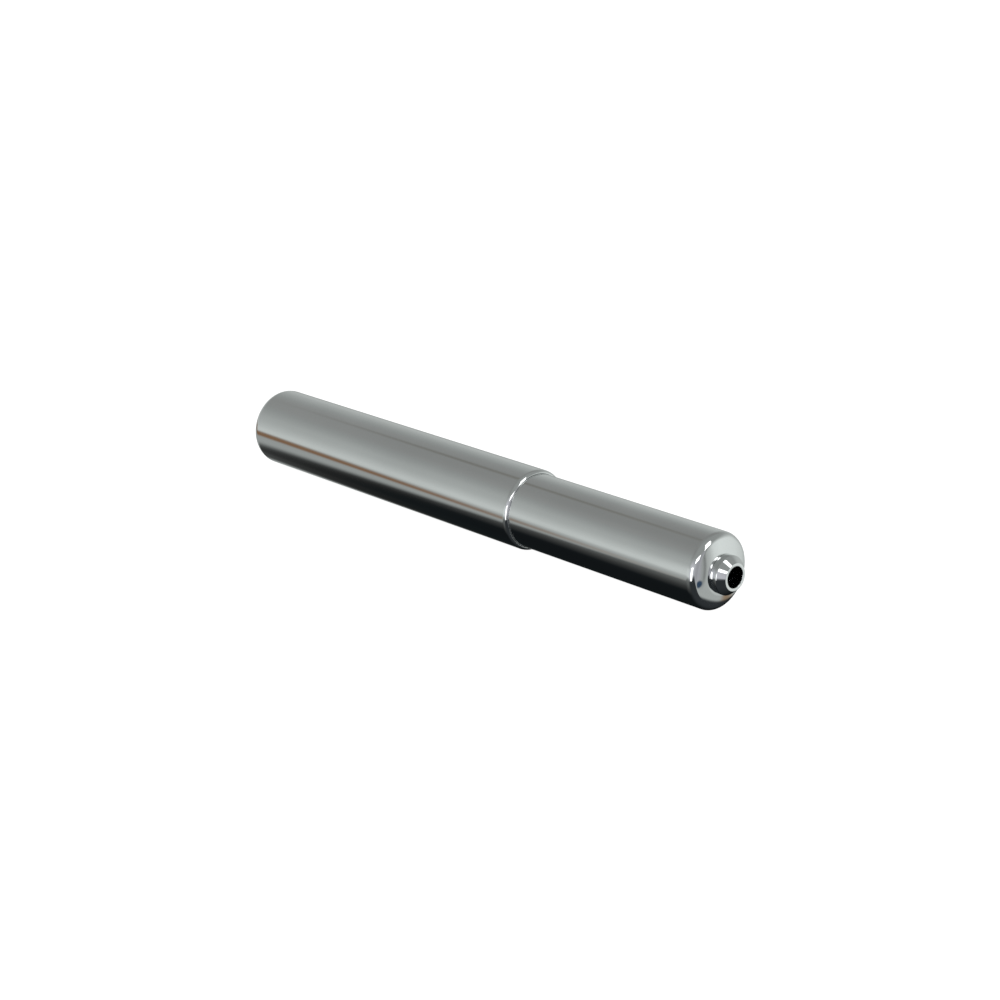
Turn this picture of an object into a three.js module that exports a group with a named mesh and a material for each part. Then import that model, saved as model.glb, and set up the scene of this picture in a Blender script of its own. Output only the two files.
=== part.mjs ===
// Spring-loaded telescopic roller: a thin chrome sleeve slides in a slightly larger one, a long
// compression spring holds them apart, and a hollow bevelled trunnion stands out of each end.
// Millimetres, +Z up. +X runs along the axis from the outer sleeve to the inner one, and the
// origin is on the axis, halfway between the two trunnion tips of the extended roller.

import * as THREE from "three";

// ---- Driving dimensions ----

const OUTER_RADIUS = 9.5; // outer sleeve, outside
const INNER_RADIUS = 8.7; // inner sleeve, outside
const WALL = 0.4; // sheet thickness of both sleeves

const OUTER_STRAIGHT = 92.65; // outer sleeve's cylinder, from its knuckle to its rolled lip
const EXPOSED_STRAIGHT = 54.72; // inner sleeve's cylinder that stands out of the lip
const LIP = 1.2; // outside radius of the rolled-in lip
const MOUTH_RADIUS = 8.8; // the lip's opening

// A sleeve closes with a slightly domed face, and a knuckle blends the face into the cylinder.
const KNUCKLE = 2.0; // radius of the round between cylinder and face
const CROWN = 20; // radius of the domed face
const LAND_RADIUS = 4.8; // flat land in the middle of the face, under the trunnion

const TRUNNION_RADIUS = 4.4;
const TRUNNION_CYLINDER = 1.75; // length of its cylinder
const TRUNNION_CONE = 1.5; // length of its bevel
const TIP_RADIUS = 3.1;
const BORE_RADIUS = 2.4;
const SHANK_RADIUS = 3.1;
const FLARE_RADIUS = 4.0;

const SHEET = 0.5; // thickness of the spring cups
const FIT_GAP = 0.05; // between pieces that are fixed to each other

const WIRE_RADIUS = 0.45;
const COIL_RADIUS = 6.5; // to the middle of the wire
const ACTIVE_TURNS = 18;
const CLOSED_TURNS = 1; // at each end

const SHELL_SIDES = 36;
const TRUNNION_SIDES = 24;
const WIRE_SIDES = 6;
const STEPS_PER_TURN = 12;

// ---- Sizes that follow ----

const QUARTER = Math.PI / 2;
const TRUNNION_LENGTH = TRUNNION_CYLINDER + TRUNNION_CONE;

// The domed face's centre is on the axis, this far from the end of the cylinder.
function crownCentre(radius) {
  return -Math.sqrt((CROWN - KNUCKLE) ** 2 - (radius - KNUCKLE) ** 2);
}

// How far the flat land stands out beyond the end of the cylinder.
function landHeight(radius) {
  return crownCentre(radius) + Math.sqrt(CROWN ** 2 - LAND_RADIUS ** 2);
}

// How far round the lip its cut edge is, at a distance from the centre of the roll.
function lipTurn(radius) {
  return Math.acos((MOUTH_RADIUS - OUTER_RADIUS + LIP) / radius);
}

const LIP_DEPTH = LIP * Math.sin(lipTurn(LIP)); // along the roller

const OVERALL =
  TRUNNION_LENGTH +
  landHeight(OUTER_RADIUS) +
  OUTER_STRAIGHT +
  LIP_DEPTH +
  EXPOSED_STRAIGHT +
  landHeight(INNER_RADIUS) +
  TRUNNION_LENGTH;

const OUTER_LAND_X = -OVERALL / 2 + TRUNNION_LENGTH;
const LIP_START_X = OUTER_LAND_X + landHeight(OUTER_RADIUS) + OUTER_STRAIGHT;
const INNER_KNUCKLE_X = LIP_START_X + LIP_DEPTH + EXPOSED_STRAIGHT;
const INNER_LAND_X = OVERALL / 2 - TRUNNION_LENGTH;

// ---- Profiles: lists of [x, r], x along the roller and r out from its axis ----

// An arc about [x, r]. Its angle is 0 straight out from the axis and a quarter turn along +X.
function arc([x, r], radius, from, to, steps) {
  return Array.from({ length: steps + 1 }, (_, i) => {
    const angle = from + ((to - from) * i) / steps;
    return [x + radius * Math.sin(angle), r + radius * Math.cos(angle)];
  });
}

// Turns a closed profile, listed clockwise with +X to the right and r up, about the X axis.
function turned(profile, sides) {
  const points = [...profile, profile[0]].map(([x, r]) => new THREE.Vector2(r, x));
  return new THREE.LatheGeometry(points, sides).rotateZ(-QUARTER);
}

// One skin of a closed end whose cylinder stops at x = 0, from the cylinder in to the flat land.
// inset is the depth of the skin under the outside.
function endSkin(radius, inset) {
  const blend = Math.acos((radius - KNUCKLE) / (CROWN - KNUCKLE));
  const landAngle = Math.acos(LAND_RADIUS / (CROWN - inset));
  const knuckle = arc([0, radius - KNUCKLE], KNUCKLE - inset, 0, blend, 7);
  const face = arc([crownCentre(radius), 0], CROWN - inset, blend, landAngle, 3);
  return [...knuckle, ...face.slice(1)];
}

// A drawn sleeve, open towards -X. mouth is the profile of its open edge, from inside to outside.
function sleeveProfile(radius, mouth) {
  const landX = landHeight(radius);
  const holeRadius = SHANK_RADIUS + FIT_GAP;
  return [
    ...mouth,
    ...endSkin(radius, 0),
    [landX, holeRadius],
    [landX - WALL, holeRadius],
    ...endSkin(radius, WALL).reverse(),
  ];
}

// ---- Materials ----

const chrome = new THREE.MeshStandardMaterial({ color: 0xb9bfc0, metalness: 1, roughness: 0.08 });
const zincSteel = new THREE.MeshStandardMaterial({ color: 0xa3a7a8, metalness: 1, roughness: 0.35 });
const springSteel = new THREE.MeshStandardMaterial({ color: 0x84868a, metalness: 1, roughness: 0.3 });
const nylon = new THREE.MeshStandardMaterial({ color: 0xe9e6dc, metalness: 0, roughness: 0.45 });

function piece(name, geometry, material, x = 0) {
  const mesh = new THREE.Mesh(geometry, material);
  mesh.name = name;
  mesh.position.x = x;
  return mesh;
}

// ---- Sleeves ----

// Closed end towards +X, cylinder ending at x = 0. The lip is the wall rolled inwards until it
// almost meets the inner sleeve, and it is what the guide bush stops against.
function outerSleeve() {
  const centre = [-OUTER_STRAIGHT, OUTER_RADIUS - LIP];
  const lip = [
    ...arc(centre, LIP - WALL, 0, -lipTurn(LIP - WALL), 3),
    ...arc(centre, LIP, -lipTurn(LIP), 0, 5),
  ];
  return turned(sleeveProfile(OUTER_RADIUS, lip), SHELL_SIDES);
}

const GUIDE_FRONT_X = LIP_START_X + 0.35; // its shoulder, just short of the lip's inside
const INNER_EDGE_X = GUIDE_FRONT_X + FIT_GAP; // the inner sleeve's open edge, on that shoulder

function innerSleeve() {
  const edge = INNER_EDGE_X - INNER_KNUCKLE_X;
  const mouth = [
    [edge, INNER_RADIUS - WALL],
    [edge, INNER_RADIUS],
  ];
  return turned(sleeveProfile(INNER_RADIUS, mouth), SHELL_SIDES);
}

// ---- Trunnion: a hollow rivet, its root at x = 0 on the land and its tip towards +X ----

const CUP_RAISE = 0.95; // how far the cup's floor stands off its dimple
const FLARE_UNDER = -WALL - FIT_GAP - SHEET - FIT_GAP; // the flare's face on the cup's dimple
const FLARE_THICKNESS = 0.6;

function trunnion() {
  const edge = 0.15; // small bevel at each corner
  const tipX = TRUNNION_LENGTH;
  const root = FIT_GAP;
  return turned(
    [
      [root, SHANK_RADIUS],
      [root, TRUNNION_RADIUS],
      [TRUNNION_CYLINDER - edge, TRUNNION_RADIUS],
      [TRUNNION_CYLINDER, TRUNNION_RADIUS - edge / 3],
      [tipX - edge / 2, TIP_RADIUS],
      [tipX, TIP_RADIUS - edge],
      [tipX, BORE_RADIUS],
      [FLARE_UNDER - FLARE_THICKNESS, BORE_RADIUS],
      [FLARE_UNDER - FLARE_THICKNESS, FLARE_RADIUS - 3 * edge],
      [FLARE_UNDER - edge, FLARE_RADIUS],
      [FLARE_UNDER, FLARE_RADIUS],
      [FLARE_UNDER, SHANK_RADIUS],
    ],
    TRUNNION_SIDES,
  );
}

// ---- Spring cup: a pressed cup, its dimple on the inside of the land, open towards -X ----

const CUP_RADIUS = 7.6;
const CUP_DEPTH = 4.0; // from the land's inside to the cup's rim
const CUP_BACK = -WALL - FIT_GAP;
const CUP_SEAT = CUP_BACK - CUP_RAISE - SHEET; // where the spring bears, from the land's outside

function springCup() {
  const hole = SHANK_RADIUS + FIT_GAP;
  const dimple = 4.35; // radius of the dimple's flat, inside
  const step = CUP_RAISE;
  return turned(
    [
      [CUP_BACK - CUP_DEPTH, CUP_RADIUS - SHEET],
      [CUP_BACK - CUP_DEPTH, CUP_RADIUS],
      [CUP_BACK - step - SHEET, CUP_RADIUS],
      [CUP_BACK - step, CUP_RADIUS - SHEET],
      [CUP_BACK - step, dimple + step],
      [CUP_BACK, dimple],
      [CUP_BACK, hole],
      [CUP_BACK - SHEET, hole],
      [CUP_BACK - SHEET, dimple],
      [CUP_BACK - step - SHEET, dimple + step],
      [CUP_BACK - step - SHEET, CUP_RADIUS - SHEET],
    ],
    SHELL_SIDES,
  );
}

// ---- Thrust washer: between the spring and the inner cup, so that the sleeve can turn ----

const WASHER_THICKNESS = 0.5;
const WASHER_X = INNER_LAND_X + CUP_SEAT - FIT_GAP - WASHER_THICKNESS;

function thrustWasher() {
  const [inside, outside] = [5.7, 7.0];
  return turned(
    [
      [0, inside],
      [0, outside],
      [WASHER_THICKNESS, outside],
      [WASHER_THICKNESS, inside],
    ],
    SHELL_SIDES,
  );
}

// ---- Guide bush: a nylon tube that runs in the outer sleeve, its spigot in the inner one ----

const GUIDE_LENGTH = 37; // its end meets the outer cup's rim when the roller is pushed right in
const SPIGOT_LENGTH = 8;

function guideBush() {
  const body = OUTER_RADIUS - WALL - 0.06; // running clearance in the outer sleeve
  const spigot = INNER_RADIUS - WALL - FIT_GAP;
  const bore = COIL_RADIUS + WIRE_RADIUS + 0.3; // the spring passes through
  const bevel = 0.2;
  const [grooveCount, grooveWidth, grooveDepth] = [3, 5, 0.35];
  const land = (GUIDE_LENGTH - grooveCount * grooveWidth) / (grooveCount + 1);
  const grooves = Array.from({ length: grooveCount }, (_, i) => {
    const x = -GUIDE_LENGTH + land + i * (land + grooveWidth);
    return [
      [x, body],
      [x + bevel, body - grooveDepth],
      [x + grooveWidth - bevel, body - grooveDepth],
      [x + grooveWidth, body],
    ];
  });
  return turned(
    [
      [-GUIDE_LENGTH, bore + bevel],
      [-GUIDE_LENGTH, body - bevel],
      [-GUIDE_LENGTH + bevel, body],
      ...grooves.flat(),
      [-bevel, body],
      [0, body - bevel],
      [0, spigot],
      [SPIGOT_LENGTH - 1, spigot],
      [SPIGOT_LENGTH, spigot - 0.3],
      [SPIGOT_LENGTH, bore],
      [-GUIDE_LENGTH + bevel, bore],
    ],
    SHELL_SIDES,
  );
}

// ---- Spring: a helix whose end turns are closed ----

const SPRING_START_X = OUTER_LAND_X - CUP_SEAT + FIT_GAP;
const SPRING_END_X = WASHER_X - FIT_GAP;

class Helix extends THREE.Curve {
  getPoint(t) {
    const turns = ACTIVE_TURNS + 2 * CLOSED_TURNS;
    const turn = t * turns;
    const closedPitch = 2 * WIRE_RADIUS * 1.08;
    const length = SPRING_END_X - SPRING_START_X - 2 * WIRE_RADIUS;
    const openPitch = (length - 2 * CLOSED_TURNS * closedPitch) / ACTIVE_TURNS;
    const first = Math.min(turn, CLOSED_TURNS);
    const last = Math.max(turn - CLOSED_TURNS - ACTIVE_TURNS, 0);
    const x = (first + last) * closedPitch + (turn - first - last) * openPitch;
    const angle = 2 * Math.PI * turn;
    return new THREE.Vector3(x, COIL_RADIUS * Math.cos(angle), COIL_RADIUS * Math.sin(angle));
  }
}

function spring() {
  const section = new THREE.Shape();
  for (let i = 0; i < WIRE_SIDES; i++) {
    const angle = (2 * Math.PI * i) / WIRE_SIDES;
    const point = [WIRE_RADIUS * Math.cos(angle), WIRE_RADIUS * Math.sin(angle)];
    if (i === 0) section.moveTo(...point);
    else section.lineTo(...point);
  }
  section.closePath();
  const steps = (ACTIVE_TURNS + 2 * CLOSED_TURNS) * STEPS_PER_TURN;
  return new THREE.ExtrudeGeometry(section, { steps, extrudePath: new Helix(), bevelEnabled: false });
}

// ---- Assembly ----

const roller = new THREE.Group();

// The outer sleeve's end faces -X, so everything in it is turned half round.
const outerEnd = new THREE.Group();
outerEnd.position.x = OUTER_LAND_X;
outerEnd.rotation.z = Math.PI;
outerEnd.add(
  piece("outer_sleeve", outerSleeve(), chrome, -landHeight(OUTER_RADIUS)),
  piece("outer_trunnion", trunnion(), chrome),
  piece("outer_spring_cup", springCup(), zincSteel),
);

const innerEnd = new THREE.Group();
innerEnd.position.x = INNER_LAND_X;
innerEnd.add(
  piece("inner_sleeve", innerSleeve(), chrome, -landHeight(INNER_RADIUS)),
  piece("inner_trunnion", trunnion(), chrome),
  piece("inner_spring_cup", springCup(), zincSteel),
);

roller.add(
  outerEnd,
  innerEnd,
  piece("guide_bush", guideBush(), nylon, GUIDE_FRONT_X),
  piece("thrust_washer", thrustWasher(), nylon, WASHER_X),
  piece("compression_spring", spring(), springSteel, SPRING_START_X + WIRE_RADIUS),
);

export default roller;
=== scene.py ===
"""Looks of the spring-loaded telescopic roller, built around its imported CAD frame.

Metres, in the CAD frame: +X runs along the roller from its outer sleeve to its inner one, +Z is up.
Everything turned is drawn as an outline of (x, r) points, r being the distance from the roller's axis.
"""

from math import acos, cos, pi, radians, sin, tan

import bmesh
import bpy
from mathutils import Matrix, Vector


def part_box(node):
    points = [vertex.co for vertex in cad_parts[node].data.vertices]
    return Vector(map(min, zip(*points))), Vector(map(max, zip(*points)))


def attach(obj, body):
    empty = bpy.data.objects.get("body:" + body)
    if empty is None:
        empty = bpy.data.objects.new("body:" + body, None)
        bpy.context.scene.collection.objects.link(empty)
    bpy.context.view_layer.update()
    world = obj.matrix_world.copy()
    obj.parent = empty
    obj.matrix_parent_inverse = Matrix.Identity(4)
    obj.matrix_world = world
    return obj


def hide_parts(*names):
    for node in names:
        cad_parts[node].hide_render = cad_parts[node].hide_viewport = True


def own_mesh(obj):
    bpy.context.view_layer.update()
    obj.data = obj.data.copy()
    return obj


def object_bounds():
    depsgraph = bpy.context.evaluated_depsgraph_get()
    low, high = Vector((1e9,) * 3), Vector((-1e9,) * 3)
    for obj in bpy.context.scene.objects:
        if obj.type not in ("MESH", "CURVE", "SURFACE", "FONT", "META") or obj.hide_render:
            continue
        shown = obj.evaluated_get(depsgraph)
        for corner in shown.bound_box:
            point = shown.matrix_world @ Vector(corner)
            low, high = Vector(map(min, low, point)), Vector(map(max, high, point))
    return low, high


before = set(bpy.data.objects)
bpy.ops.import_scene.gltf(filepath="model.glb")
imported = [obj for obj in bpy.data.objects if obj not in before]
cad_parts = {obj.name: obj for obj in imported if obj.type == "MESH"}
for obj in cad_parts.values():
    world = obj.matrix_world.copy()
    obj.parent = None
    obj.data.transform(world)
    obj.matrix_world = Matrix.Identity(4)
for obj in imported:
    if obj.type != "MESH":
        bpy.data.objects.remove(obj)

CAD_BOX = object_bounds()
MM = 0.001

# ---- Sizes ----

WALL = 0.4 * MM  # sheet of both sleeves
LIP = 1.2 * MM  # outside radius of the rolled-in lip
CAD_MOUTH_RADIUS = 8.8 * MM  # the lip's opening in the CAD, which sets how deep the lip is
MOUTH_RADIUS = 8.74 * MM  # its opening here
KNUCKLE = 2.0 * MM  # radius of the round between a sleeve's cylinder and its face
CROWN = 20 * MM  # radius of the domed face
LAND_RADIUS = 4.8 * MM  # flat land under the trunnion

TRUNNION_RADIUS = 4.4 * MM
TRUNNION_CYLINDER = 1.65 * MM  # to where its bevel begins
TIP_RADIUS = 3.06 * MM
BORE_RADIUS = 2.4 * MM
SHANK_RADIUS = 3.1 * MM
FLARE_RADIUS = 4.0 * MM
FLARE_THICKNESS = 0.6 * MM

SHEET = 0.5 * MM  # sheet of the spring cups
FIT_GAP = 0.05 * MM
CUP_RAISE = 0.95 * MM
DIMPLE_RADIUS = 4.35 * MM

WASHER_BORE = 5.7 * MM
SPIGOT_LENGTH = 8 * MM  # part of the bush that is pressed in the inner sleeve
SPRING_CLEARANCE = 0.3 * MM  # between the spring and the bush

WIRE_RADIUS = 0.45 * MM
COIL_RADIUS = 6.5 * MM
ACTIVE_TURNS = 18
CLOSED_TURNS = 1
CLOSED_SPACING = 1.08  # pitch of a closed turn, in wire diameters

NEXT_RING = 0.3 * MM  # a ring this far along a cylinder keeps its shading straight
KNUCKLE_STEPS = 32
FACE_STEPS = 10
ROLL_STEPS = 20  # round the outside of the lip
ROLL_INSIDE_STEPS = 8
NOSE_STEPS = 8  # round the edge of the lip's sheet
SHARP_ANGLE = radians(35)
SLEEVE_SEGMENTS = 240
SMALL_SEGMENTS = 144
WIRE_SIDES = 14
STEPS_PER_TURN = 48

OUTER_LOW, OUTER_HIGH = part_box("outer_sleeve")
INNER_LOW, INNER_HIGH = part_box("inner_sleeve")
OUTER_RADIUS, INNER_RADIUS = OUTER_HIGH.z, INNER_HIGH.z
MOUTH_X = OUTER_HIGH.x

# ---- Outlines ----


def arc(centre, radius, start, end, steps):
    """Part of a circle. Its angle is 0 straight out from the axis and a quarter turn along +X."""
    angles = [start + (end - start) * i / steps for i in range(steps + 1)]
    return [(centre[0] + radius * sin(a), centre[1] + radius * cos(a)) for a in angles]


def rounded(corners, steps=6):
    """A closed outline whose corners, (x, r, fillet), are turned into arcs of their fillet's radius."""
    outline = []
    for i, (x, r, fillet) in enumerate(corners):
        here = Vector((x, r))
        if not fillet:
            outline.append((x, r))
            continue
        back = (Vector(corners[i - 1][:2]) - here).normalized()
        ahead = (Vector(corners[(i + 1) % len(corners)][:2]) - here).normalized()
        half = back.angle(ahead) / 2
        centre = here + (back + ahead).normalized() * fillet / sin(half)
        spokes = [here + side * fillet / tan(half) - centre for side in (back, ahead)]
        for step in range(steps + 1):
            spoke = spokes[0].lerp(spokes[1], step / steps).normalized() * fillet
            outline.append(tuple(centre + spoke))
    return outline


def placed(outline, x, facing=1):
    """The outline moved to x, and mirrored if it faces -X."""
    return [(x + facing * px, r) for px, r in outline]


def crown_centre(radius):
    """The domed face's centre is on the axis, this far from the end of the cylinder."""
    return -(((CROWN - KNUCKLE) ** 2 - (radius - KNUCKLE) ** 2) ** 0.5)


def land_height(radius):
    """How far the flat land stands out beyond the end of the cylinder."""
    return crown_centre(radius) + (CROWN**2 - LAND_RADIUS**2) ** 0.5


def end_skin(radius, inset):
    """One skin of a closed end, from the end of its cylinder, at x = 0, in to the flat land."""
    blend = acos((radius - KNUCKLE) / (CROWN - KNUCKLE))
    knuckle = arc((0, radius - KNUCKLE), KNUCKLE - inset, 0, blend, KNUCKLE_STEPS)
    land = acos(LAND_RADIUS / (CROWN - inset))
    face = arc((crown_centre(radius), 0), CROWN - inset, blend, land, FACE_STEPS)
    return [(-NEXT_RING, radius - inset)] + knuckle + face[1:]


def sleeve_outline(radius, mouth):
    """A drawn sleeve, open towards -X. Its mouth is its open edge's outline, from inside to outside."""
    land_x, hole = land_height(radius), SHANK_RADIUS + FIT_GAP
    hole_edge = [(land_x, hole), (land_x - WALL, hole)]
    return mouth + end_skin(radius, 0) + hole_edge + end_skin(radius, WALL)[::-1]


# ---- Meshes ----


def mesh_piece(name, grid, closed_ends, body, material):
    """A piece skinned over rings of points. The first and last ring are capped, or else joined."""
    shell = bmesh.new()
    rings = [[shell.verts.new(point) for point in ring] for ring in grid]
    pairs = list(zip(rings, rings[1:])) + ([] if closed_ends else [(rings[-1], rings[0])])
    for ring, following in pairs:
        for i in range(len(ring)):
            shell.faces.new((ring[i - 1], ring[i], following[i], following[i - 1]))
    if closed_ends:
        shell.faces.new(rings[0])
        shell.faces.new(rings[-1][::-1])
    bmesh.ops.recalc_face_normals(shell, faces=shell.faces)
    mesh = bpy.data.meshes.new(name)
    shell.to_mesh(mesh)
    shell.free()
    mesh.polygons.foreach_set("use_smooth", [True] * len(mesh.polygons))
    mesh.set_sharp_from_angle(angle=SHARP_ANGLE)
    mesh.materials.append(material)
    piece = bpy.data.objects.new(name, mesh)
    bpy.context.scene.collection.objects.link(piece)
    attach(piece, body)
    return piece


def turned(name, outline, segments, body, material):
    """The outline turned about the X axis."""
    angles = [2 * pi * i / segments for i in range(segments)]
    grid = [[(x, r * cos(a), r * sin(a)) for a in angles] for x, r in outline]
    return mesh_piece(name, grid, False, body, material)


# ---- Node helpers ----


class Nodes:
    """Adds nodes to one tree. Each input takes a number, a colour or another node's output."""

    def __init__(self, tree):
        self.tree = tree
        tree.nodes.clear()

    def add(self, kind, inputs=(), **settings):
        node = self.tree.nodes.new("ShaderNode" + kind)
        for key, value in settings.items():
            setattr(node, key, value)
        for key, value in dict(inputs).items():
            self.put(node.inputs[key], value)
        return node

    def put(self, socket, value):
        if isinstance(value, bpy.types.NodeSocket):
            self.tree.links.new(value, socket)
        elif isinstance(value, (tuple, list)) and len(value) == 3 and socket.type == "RGBA":
            socket.default_value = (*value, 1)
        else:
            socket.default_value = value

    def math(self, operation, a, b=0.0):
        return self.add("Math", {0: a, 1: b}, operation=operation).outputs[0]

    def smooth(self, value, low, high):
        """0 below low and 1 above high, or the reverse where low is the larger."""
        settings = {"Value": value, "From Min": low, "From Max": high}
        node = self.add("MapRange", settings, interpolation_type="SMOOTHSTEP")
        return node.outputs["Result"]

    def share(self, value, low, high):
        """low..high mapped to 0..1."""
        return self.add("MapRange", {"Value": value, "From Min": low, "From Max": high}).outputs["Result"]

    def spread(self, value, low, high):
        """0..1 mapped to low..high."""
        return self.add("MapRange", {"Value": value, "To Min": low, "To Max": high}).outputs["Result"]

    def mix(self, share, a, b):
        node = self.add("Mix", {0: share, 6: a, 7: b}, data_type="RGBA")
        return node.outputs[2]

    def ramp(self, value, stops):
        """Colours along a value from 0 to 1."""
        node = self.add("ValToRGB", {"Fac": value})
        elements = node.color_ramp.elements
        elements.remove(elements[1])
        for i, (position, colour) in enumerate(stops):
            element = elements[0] if i == 0 else elements.new(position)
            element.position = position
            element.color = (*colour, 1)
        return node.outputs["Color"]

    def noise(self, scale, stretch=(1, 1, 1), detail=3.0):
        """Noise over the piece, scale per metre, longer where stretch is small."""
        where = self.add("TexCoord").outputs["Object"]
        where = self.add("Mapping", {"Vector": where, "Scale": stretch}).outputs["Vector"]
        return self.add("TexNoise", {"Vector": where, "Scale": scale, "Detail": detail}).outputs["Fac"]


def grey(level, tint):
    """The linear light of a tinted sRGB grey whose white is 255. It holds for levels above 10."""
    return tuple(((level * share / 255 + 0.055) / 1.055) ** 2.4 for share in tint)


def new_material(name):
    material = bpy.data.materials.new(name)
    material.use_nodes = True
    return material, Nodes(material.node_tree)


def metal(name, dark, light, rough, grain_scale, stretch, bump_depth):
    """Metal whose colour and roughness vary over broad clouds and a fine directional grain."""
    material, nodes = new_material(name)
    cloud_scale, grain_share = 60, 0.5
    clouds = nodes.noise(cloud_scale, detail=2.0)
    grain = nodes.noise(grain_scale, stretch)
    blend = nodes.add("Mix", {0: grain_share, 2: clouds, 3: grain}, data_type="FLOAT").outputs[0]
    colour = nodes.ramp(blend, [(0.3, dark), (0.7, light)])
    roughness = nodes.spread(blend, *rough)
    relief = nodes.add("Bump", {"Height": grain, "Distance": bump_depth, "Strength": 1.0})
    shader = nodes.add("BsdfPrincipled", {
        "Base Color": colour,
        "Metallic": 1.0,
        "Roughness": roughness,
        "Normal": relief.outputs["Normal"],
    })
    nodes.add("OutputMaterial", {"Surface": shader.outputs[0]})
    return material


def nylon_material():
    """Moulded nylon: faintly mottled, with a fine eggshell texture."""
    material, nodes = new_material("moulded_nylon")
    mottle_scale, texture_scale = 150, 2500
    mottle, texture = nodes.noise(mottle_scale), nodes.noise(texture_scale)
    colour = nodes.ramp(mottle, [(0.3, (0.74, 0.72, 0.65)), (0.7, (0.83, 0.81, 0.75))])
    relief = nodes.add("Bump", {"Height": texture, "Distance": 0.01 * MM, "Strength": 1.0})
    shader = nodes.add("BsdfPrincipled", {
        "Base Color": colour,
        "Roughness": nodes.spread(texture, 0.38, 0.55),
        "Subsurface Weight": 0.1,
        "Subsurface Scale": 1 * MM,
        "Normal": relief.outputs["Normal"],
    })
    nodes.add("OutputMaterial", {"Surface": shader.outputs[0]})
    return material


CHROME_DARK = (0.76, 0.77, 0.77)
CHROME_LIGHT = (0.82, 0.83, 0.83)

chrome = metal(
    "polished_chrome",
    dark=CHROME_DARK,
    light=CHROME_LIGHT,
    rough=(0.05, 0.1),
    grain_scale=300,
    stretch=(0.06, 1, 1),
    bump_depth=0.0004 * MM,
)
turned_chrome = metal(
    "turned_chrome",
    dark=CHROME_DARK,
    light=CHROME_LIGHT,
    rough=(0.04, 0.09),
    grain_scale=300,
    stretch=(6, 1, 1),
    bump_depth=0.0003 * MM,
)
zinc = metal(
    "zinc_plating",
    dark=(0.46, 0.48, 0.5),
    light=(0.62, 0.64, 0.66),
    rough=(0.28, 0.42),
    grain_scale=900,
    stretch=(1, 1, 1),
    bump_depth=0.004 * MM,
)
spring_wire = metal(
    "drawn_spring_wire",
    dark=(0.2, 0.21, 0.23),
    light=(0.36, 0.37, 0.39),
    rough=(0.22, 0.38),
    grain_scale=1500,
    stretch=(1, 1, 1),
    bump_depth=0.004 * MM,
)
nylon = nylon_material()

# ---- Sleeves ----


def build_outer_sleeve():
    """Closed towards -X. Its lip is the wall rolled in until it almost meets the inner sleeve."""
    knuckle_x = OUTER_LOW.x + land_height(OUTER_RADIUS)
    depth = LIP * sin(acos((CAD_MOUTH_RADIUS - OUTER_RADIUS + LIP) / LIP))
    centre = (-(MOUTH_X - depth - knuckle_x), OUTER_RADIUS - LIP)
    cut, opening = WALL / 4, MOUTH_RADIUS - centre[1]
    nose = acos((opening + cut) / (LIP - cut))
    nose_centre = (centre[0] - (LIP - cut) * sin(nose), MOUTH_RADIUS + cut)
    lip = [(centre[0] + NEXT_RING, OUTER_RADIUS - WALL)]
    lip += arc(centre, LIP - WALL, 0, -acos(opening / (LIP - WALL)), ROLL_INSIDE_STEPS)
    lip += arc(nose_centre, cut, -pi, -nose, NOSE_STEPS)[:-1]
    lip += arc(centre, LIP, -nose, 0, ROLL_STEPS)
    lip += [(centre[0] + NEXT_RING, OUTER_RADIUS)]
    outline = placed(sleeve_outline(OUTER_RADIUS, lip), knuckle_x, -1)
    piece = turned("outer_sleeve_shell", outline, SLEEVE_SEGMENTS, "outer", chrome)
    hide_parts("outer_sleeve")


def build_inner_sleeve():
    knuckle_x = INNER_HIGH.x - land_height(INNER_RADIUS)
    edge_x, bevel = INNER_LOW.x - knuckle_x, WALL / 3
    mouth = [
        (edge_x + bevel, INNER_RADIUS - WALL),
        (edge_x, INNER_RADIUS - WALL + bevel),
        (edge_x, INNER_RADIUS - bevel),
        (edge_x + bevel, INNER_RADIUS),
    ]
    outline = placed(sleeve_outline(INNER_RADIUS, mouth), knuckle_x)
    piece = turned("inner_sleeve_shell", outline, SLEEVE_SEGMENTS, "inner", chrome)
    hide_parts("inner_sleeve")


# ---- Trunnions ----


def build_trunnion(body, land_x, facing):
    """A hollow rivet standing on the land, its shank flared over the spring cup behind it."""
    low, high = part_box(f"{body}_trunnion")
    tip = facing * ((high.x if facing > 0 else low.x) - land_x)
    flare_x = -(WALL + SHEET + 2 * FIT_GAP)
    edge, shoulder = 0.12 * MM, 0.4 * MM
    outline = rounded([
        (FIT_GAP, SHANK_RADIUS, 0),
        (FIT_GAP, TRUNNION_RADIUS, edge / 2),
        (TRUNNION_CYLINDER, TRUNNION_RADIUS, shoulder),
        (tip, TIP_RADIUS, edge),
        (tip, BORE_RADIUS, edge),
        (flare_x - FLARE_THICKNESS, BORE_RADIUS, edge),
        (flare_x - FLARE_THICKNESS, FLARE_RADIUS, 2 * edge),
        (flare_x, FLARE_RADIUS, edge),
        (flare_x, SHANK_RADIUS, 0),
    ])
    outline = placed(outline, land_x, facing)
    piece = turned(f"{body}_trunnion_pin", outline, SMALL_SEGMENTS, body, turned_chrome)
    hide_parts(f"{body}_trunnion")


# ---- Spring and what it bears on ----


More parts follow.
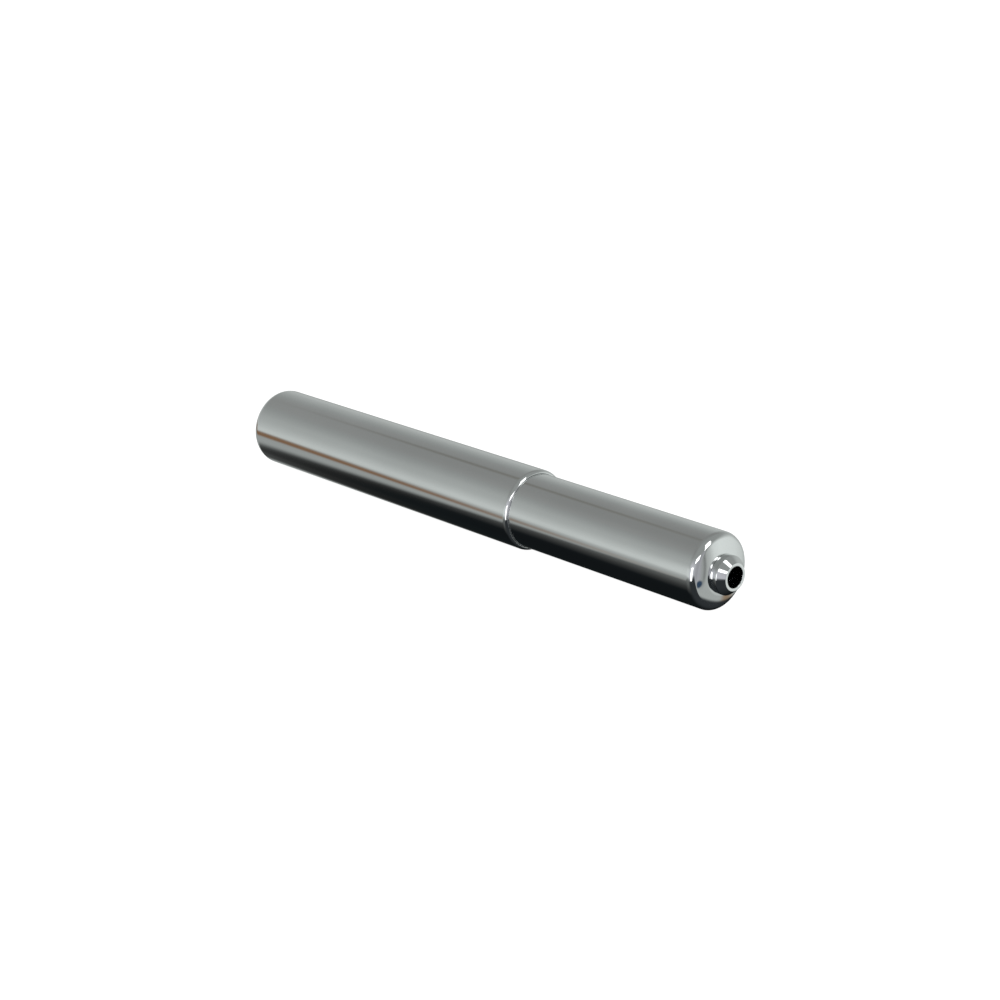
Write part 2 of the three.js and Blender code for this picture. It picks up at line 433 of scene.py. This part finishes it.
def build_spring_cup(body, facing):
    """A cup pressed from sheet, the middle of its floor raised to meet the sleeve's flat land."""
    low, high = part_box(f"{body}_spring_cup")
    back_x, depth, radius = (high.x if facing > 0 else low.x), high.x - low.x, high.z
    hole, soft = SHANK_RADIUS + FIT_GAP, 0.2 * MM
    outline = rounded([
        (-depth, radius - SHEET, SHEET / 3),
        (-depth, radius, SHEET / 3),
        (-CUP_RAISE, radius, 2 * soft + SHEET / 2),
        (-CUP_RAISE, DIMPLE_RADIUS + CUP_RAISE, soft),
        (0, DIMPLE_RADIUS, soft),
        (0, hole, 0),
        (-SHEET, hole, 0),
        (-SHEET, DIMPLE_RADIUS - SHEET / 2, soft),
        (-CUP_RAISE - SHEET, DIMPLE_RADIUS + CUP_RAISE - SHEET / 2, soft),
        (-CUP_RAISE - SHEET, radius - SHEET, soft),
    ])
    outline = placed(outline, back_x, facing)
    piece = turned(f"{body}_cup_pressing", outline, SMALL_SEGMENTS, body, zinc)
    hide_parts(f"{body}_spring_cup")


def build_thrust_washer():
    low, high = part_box("thrust_washer")
    edge = 0.12 * MM
    corners = [(low.x, WASHER_BORE), (low.x, high.z), (high.x, high.z), (high.x, WASHER_BORE)]
    outline = rounded([(x, r, edge) for x, r in corners])
    piece = turned("nylon_thrust_washer", outline, SMALL_SEGMENTS, "follower", nylon)
    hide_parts("thrust_washer")


def build_guide_bush():
    """A bush with three relief grooves, and a spigot that is pressed in the inner sleeve."""
    low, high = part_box("guide_bush")
    spigot = INNER_RADIUS - WALL - FIT_GAP
    lead_length, lead_depth = 1 * MM, 0.3 * MM
    groove_count, groove_width, groove_depth = 3, 5 * MM, 0.35 * MM
    bore = COIL_RADIUS + WIRE_RADIUS + SPRING_CLEARANCE
    edge, soft = 0.2 * MM, 0.1 * MM
    shoulder_x, radius = high.x - SPIGOT_LENGTH, high.z
    land = (shoulder_x - low.x - groove_count * groove_width) / (groove_count + 1)
    corners = [(low.x, bore, edge), (low.x, radius, edge)]
    for i in range(groove_count):
        x = low.x + land + i * (land + groove_width)
        slope = groove_depth / 2
        corners += [
            (x, radius, soft),
            (x + slope, radius - groove_depth, soft),
            (x + groove_width - slope, radius - groove_depth, soft),
            (x + groove_width, radius, soft),
        ]
    corners += [
        (shoulder_x, radius, edge),
        (shoulder_x, spigot, 0),
        (high.x - lead_length, spigot, soft),
        (high.x, spigot - lead_depth, soft),
        (high.x, bore, soft),
    ]
    piece = turned("nylon_guide_bush", rounded(corners, 4), SMALL_SEGMENTS, "inner", nylon)
    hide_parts("guide_bush")


def build_spring():
    """A round wire helix with a closed turn at each end. It is built at one length and rides with the
    outer sleeve, though in the roller the sliding sleeve shortens it.
    """
    low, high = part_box("compression_spring")
    turns = ACTIVE_TURNS + 2 * CLOSED_TURNS
    closed_pitch = 2 * WIRE_RADIUS * CLOSED_SPACING
    length = high.x - low.x - 2 * WIRE_RADIUS
    open_pitch = (length - 2 * CLOSED_TURNS * closed_pitch) / ACTIVE_TURNS
    steps = turns * STEPS_PER_TURN
    grid = []
    for step in range(steps + 1):
        turn = step / STEPS_PER_TURN
        closed = min(turn, CLOSED_TURNS) + max(turn - CLOSED_TURNS - ACTIVE_TURNS, 0)
        is_closed = turn < CLOSED_TURNS or turn > CLOSED_TURNS + ACTIVE_TURNS
        x = low.x + WIRE_RADIUS + closed * closed_pitch + (turn - closed) * open_pitch
        angle = 2 * pi * turn
        out = Vector((0, cos(angle), sin(angle)))
        pitch = closed_pitch if is_closed else open_pitch
        along = Vector((pitch / (2 * pi * COIL_RADIUS), -sin(angle), cos(angle))).normalized()
        side = along.cross(out)
        centre = Vector((x, 0, 0)) + out * COIL_RADIUS
        ring = [2 * pi * i / WIRE_SIDES for i in range(WIRE_SIDES)]
        grid.append([centre + (out * cos(a) + side * sin(a)) * WIRE_RADIUS for a in ring])
    piece = mesh_piece("coiled_spring", grid, True, "outer", spring_wire)
    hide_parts("compression_spring")
    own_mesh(piece)


build_outer_sleeve()
build_inner_sleeve()
build_trunnion("outer", OUTER_LOW.x, -1)
build_trunnion("inner", INNER_HIGH.x, 1)
build_spring_cup("outer", -1)
build_spring_cup("inner", 1)
build_thrust_washer()
build_guide_bush()
build_spring()

# ---- Floor ----


def build_floor():
    """A plain pale floor. The chrome doesn't mirror it; it mirrors the studio."""
    half, glow_share = 3.0, 0.85
    sheet = bmesh.new()
    corners = [(-half, -half), (half, -half), (half, half), (-half, half)]
    sheet.faces.new([sheet.verts.new((x, y, CAD_BOX[0].z)) for x, y in corners])
    mesh = bpy.data.meshes.new("floor")
    sheet.to_mesh(mesh)
    sheet.free()
    material, nodes = new_material("pale_floor")
    colour = nodes.ramp(nodes.noise(4), [(0.3, (0.86, 0.86, 0.86)), (0.7, (0.88, 0.88, 0.88))])
    matt = nodes.add("BsdfDiffuse", {"Color": colour})
    glow = nodes.add("Emission", {"Color": (1, 1, 1), "Strength": 1.15})
    lit = nodes.add("MixShader", {0: glow_share, 1: matt.outputs[0], 2: glow.outputs[0]})
    nodes.add("OutputMaterial", {"Surface": lit.outputs[0]})
    mesh.materials.append(material)
    floor = bpy.data.objects.new("floor", mesh)
    bpy.context.scene.collection.objects.link(floor)
    floor.visible_glossy = False


# ---- Studio: what the chrome mirrors ----
# A direction is the x, y and z of a unit vector. Below the horizon the studio is laid out on a floor
# plan, u = x / -z and v = y / -z.

COOL = (0.975, 1.0, 0.99)
NEUTRAL = (0.985, 1.0, 0.99)
OLIVE = (1.0, 1.0, 0.96)
LILAC = (0.985, 0.99, 1.02)
STEEL = (0.93, 1.0, 1.05)
BLUISH = (0.82, 0.97, 1.05)
DUSK = (0.85, 1.0, 1.05)
MIDNIGHT = (0.75, 1.0, 1.15)
BLUE = (0.7, 1.0, 1.35)
TAN = (1.12, 0.97, 0.8)
BROWN = (1.27, 0.99, 0.76)

CHROME_LEVEL = 0.79  # share of the light that the chrome sends back
BACKDROP_STRENGTH = 1.12  # light of the white backdrop behind everything

# Colours along a place: the place, the grey's level, its tint.
SKY = [  # along the elevation, in degrees
    (-3, 186, COOL),
    (0, 181, COOL),
    (6, 172, COOL),
    (11, 165, COOL),
    (16, 160, COOL),
    (21, 157, COOL),
    (25, 152, COOL),
    (30, 145, COOL),
    (34, 139, COOL),
    (38, 134, NEUTRAL),
    (44, 129, NEUTRAL),
    (50, 125, NEUTRAL),
    (90, 132, COOL),
]
END_WALL = [  # along the azimuth, in degrees: the wall that the near end's faces mirror
    (-75, 190, LILAC),
    (-50, 182, LILAC),
    (-30, 155, LILAC),
    (-4, 148, LILAC),
    (6, 160, LILAC),
    (11, 150, COOL),
    (14, 118, COOL),
    (17, 164, COOL),
    (22, 178, COOL),
    (29, 207, COOL),
    (40, 215, COOL),
    (65, 208, COOL),
    (80, 196, COOL),
    (95, 172, COOL),
    (115, 168, COOL),
]
DARK_SHEET = [  # across the soft edge of a dark sheet that lies under the roller
    (-1.72, 147, COOL),
    (-1.64, 144, COOL),
    (-1.58, 137, COOL),
    (-1.52, 120, COOL),
    (-1.46, 92, COOL),
    (-1.42, 66, COOL),
    (-1.38, 48, COOL),
    (-1.32, 34, COOL),
    (-1.24, 24, DUSK),
    (-1.10, 17, MIDNIGHT),
]
SHEET_SHEEN = [  # along v: the sheet is nowhere darker than this
    (-1.75, 93, COOL),
    (-1.26, 74, COOL),
    (-0.95, 54, COOL),
    (-0.55, 22, BLUISH),
    (-0.3, 20, BLUISH),
]

# Patches laid over those: the grey's level, its tint, and the places along which the patch fades in,
# from nothing at the first number to all of it at the second.
WALL_PATCHES = [
    (197, COOL, [("x", -0.66, -0.6), ("z", 0.25, 0.0)]),  # paler low down, but not at the far end
    (169, COOL, [("y", 0.2, 0.6), ("z", 0.38, 0.1)]),  # duller low down towards +Y
    (111, OLIVE, [("off_seam", 0.13, 0.0), ("z", 0.62, 0.7), ("z", 0.8, 0.74)]),  # a seam
]
END_PATCHES = [
    (138, COOL, [("z", 0.17, 0.7)]),  # duller high up
    (162, COOL, [("z", -0.25, -0.58)]),  # and low down
    (120, TAN, [("z", -0.52, -0.6), ("y", 0.64, 0.76)]),  # a tan patch at the foot
    (62, BLUE, [("towards_spot", 0.9955, 0.9985)]),  # a small blue spot
]
SHEET_PATCHES = [
    (46, STEEL, [("u", -0.4, 0.5)]),  # paler towards the near end
]
LINE_PATCHES = [  # a thin brown line past the dark sheet, towards -Y
    (92, BROWN, [("z", 0.0, -0.02), ("past_line", -1.3, -0.65), ("v", -1.5, -2.15), ("x", -0.6, -0.735)]),
]
END_FADES = [("x", -0.3, 0.1)]  # where the far wall gives way to the near end's
FLOOR_FADES = [("z", 0.0, -0.02), ("v", -5.5, -1.8)]
PAST_SHEET_FADES = [("diagonal", 1.03, 1.14)]

LEAST_DROP = 0.001  # keeps u and v finite near the horizon
LEAST_RISE = 0.01  # and the seam's slope too
DIAGONAL = 0.7071
SEAM_SLOPE = 0.147  # y / z of the seam
LINE_SLOPE = 0.58  # v / u along the brown line's edge
SPOT = (0.898, 0.13, -0.42)  # direction of the blue spot
SHEET_EDGE_U = 0.198
SHEET_BEND = 0.2  # the sheet's edge bends away on both sides of SHEET_BEND_V
SHEET_BEND_V = 0.09


def stretch_of(nodes, value, stops):
    """A ramp along any range of values."""
    first, last = stops[0][0], stops[-1][0]
    shares = [((place - first) / (last - first), grey(level, tint)) for place, level, tint in stops]
    return nodes.ramp(nodes.share(value, first, last), shares)


def faded(nodes, places, fades):
    """The product of the fades' shares."""
    shares = [nodes.smooth(places[name], nothing, everything) for name, nothing, everything in fades]
    result = shares[0]
    for share in shares[1:]:
        result = nodes.math("MULTIPLY", result, share)
    return result


def patched(nodes, places, colour, patches):
    for level, tint, fades in patches:
        colour = nodes.mix(faded(nodes, places, fades), colour, grey(level, tint))
    return colour


def studio_places(nodes):
    """The direction of a mirrored ray, in every form that the studio is laid out in."""
    direction = nodes.add("TexCoord").outputs["Generated"]
    split = nodes.add("SeparateXYZ", {0: direction}).outputs
    x, y, z = split[0], split[1], split[2]
    down = nodes.math("MAXIMUM", nodes.math("MULTIPLY", z, -1.0), LEAST_DROP)
    u = nodes.math("DIVIDE", x, down)
    v = nodes.math("DIVIDE", y, down)
    slope = nodes.math("DIVIDE", y, nodes.math("MAXIMUM", z, LEAST_RISE))
    bend = nodes.math("ABSOLUTE", nodes.math("SUBTRACT", v, SHEET_BEND_V))
    bend = nodes.math("MULTIPLY", bend, SHEET_BEND)
    towards = nodes.add("VectorMath", {0: direction, 1: SPOT}, operation="DOT_PRODUCT")
    return {
        "x": x,
        "y": y,
        "z": z,
        "u": u,
        "v": v,
        "elevation": nodes.math("MULTIPLY", nodes.math("ARCSINE", z), 180 / pi),
        "azimuth": nodes.math("MULTIPLY", nodes.math("ARCTAN2", y, x), 180 / pi),
        "off_seam": nodes.math("ABSOLUTE", nodes.math("SUBTRACT", slope, SEAM_SLOPE)),
        "towards_spot": towards.outputs["Value"],
        "diagonal": nodes.math("MULTIPLY", nodes.math("ADD", u, v), DIAGONAL),
        "across_sheet": nodes.math("ADD", nodes.math("SUBTRACT", u, SHEET_EDGE_U), bend),
        "past_line": nodes.math("SUBTRACT", v, nodes.math("MULTIPLY", u, LINE_SLOPE)),
    }


def studio_colour(nodes):
    places = studio_places(nodes)
    wall = patched(nodes, places, stretch_of(nodes, places["elevation"], SKY), WALL_PATCHES)
    end = patched(nodes, places, stretch_of(nodes, places["azimuth"], END_WALL), END_PATCHES)
    wall = nodes.mix(faded(nodes, places, END_FADES), wall, end)

    sheet = stretch_of(nodes, places["across_sheet"], DARK_SHEET)
    sheen = stretch_of(nodes, places["v"], SHEET_SHEEN)
    sheet = nodes.add("Mix", {0: 1.0, 6: sheet, 7: sheen}, data_type="RGBA", blend_type="LIGHTEN")
    sheet = patched(nodes, places, sheet.outputs[2], SHEET_PATCHES)
    floor = nodes.mix(faded(nodes, places, PAST_SHEET_FADES), sheet, end)

    colour = nodes.mix(faded(nodes, places, FLOOR_FADES), wall, floor)
    return patched(nodes, places, colour, LINE_PATCHES)


def build_world():
    """The chrome mirrors the studio; everything else sees a white backdrop."""
    world = bpy.data.worlds.new("studio")
    bpy.context.scene.world = world
    world.use_nodes = True
    nodes = Nodes(world.node_tree)
    mirrored = nodes.add("Background", {"Color": studio_colour(nodes), "Strength": 1 / CHROME_LEVEL})
    backdrop = nodes.add("Background", {"Color": (1, 1, 1), "Strength": BACKDROP_STRENGTH})
    glossy = nodes.add("LightPath").outputs["Is Glossy Ray"]
    both = nodes.add("MixShader", {0: glossy, 1: backdrop.outputs[0], 2: mirrored.outputs[0]})
    nodes.add("OutputWorld", {"Surface": both.outputs[0]})


# Name, azimuth from +X towards +Y and elevation in degrees, width and height in radians, radiance.
SOFTBOXES = [
    ("overhead", 10, 45, 0.32, 0.56, 1.9),
    ("front_high", -33, 26, 0.5, 0.22, 1.9),
    ("front_low", -66, -4, 0.4, 0.6, 1.5),
]


def build_softboxes():
    distance = 2.0
    for name, azimuth, elevation, width, height, radiance in SOFTBOXES:
        light = bpy.data.lights.new(name, "AREA")
        light.shape = "RECTANGLE"
        light.size, light.size_y = width * distance, height * distance
        light.energy = radiance * pi * light.size * light.size_y
        lamp = bpy.data.objects.new(name, light)
        around, up = radians(azimuth), radians(elevation)
        towards = Vector((cos(around) * cos(up), sin(around) * cos(up), sin(up)))
        lamp.location = towards * distance
        lamp.rotation_mode = "QUATERNION"
        lamp.rotation_quaternion = towards.to_track_quat("Z", "Y")
        lamp.visible_camera = False
        bpy.context.scene.collection.objects.link(lamp)


# ---- Camera ----

CAMERA_AZIMUTH = radians(47.35)  # from -Y towards +X
CAMERA_ELEVATION = radians(18.06)
CAMERA_DISTANCE = 518.3 * MM
CAMERA_AIM = Vector((MOUTH_X - 12.34 * MM, 0, -0.38 * MM))
CAMERA_LENS = 80


def build_camera():
    flat = cos(CAMERA_ELEVATION)
    back = Vector((sin(CAMERA_AZIMUTH) * flat, -cos(CAMERA_AZIMUTH) * flat, sin(CAMERA_ELEVATION)))
    data = bpy.data.cameras.new("camera")
    data.lens = CAMERA_LENS
    data.clip_start, data.clip_end = 0.01, 50
    camera = bpy.data.objects.new("camera", data)
    camera.location = CAMERA_AIM + back * CAMERA_DISTANCE
    camera.rotation_mode = "QUATERNION"
    camera.rotation_quaternion = (-back).to_track_quat("-Z", "Y")
    bpy.context.scene.collection.objects.link(camera)
    bpy.context.scene.camera = camera


build_floor()
build_world()
build_softboxes()
build_camera()
bpy.context.scene.view_settings.view_transform = "Standard"
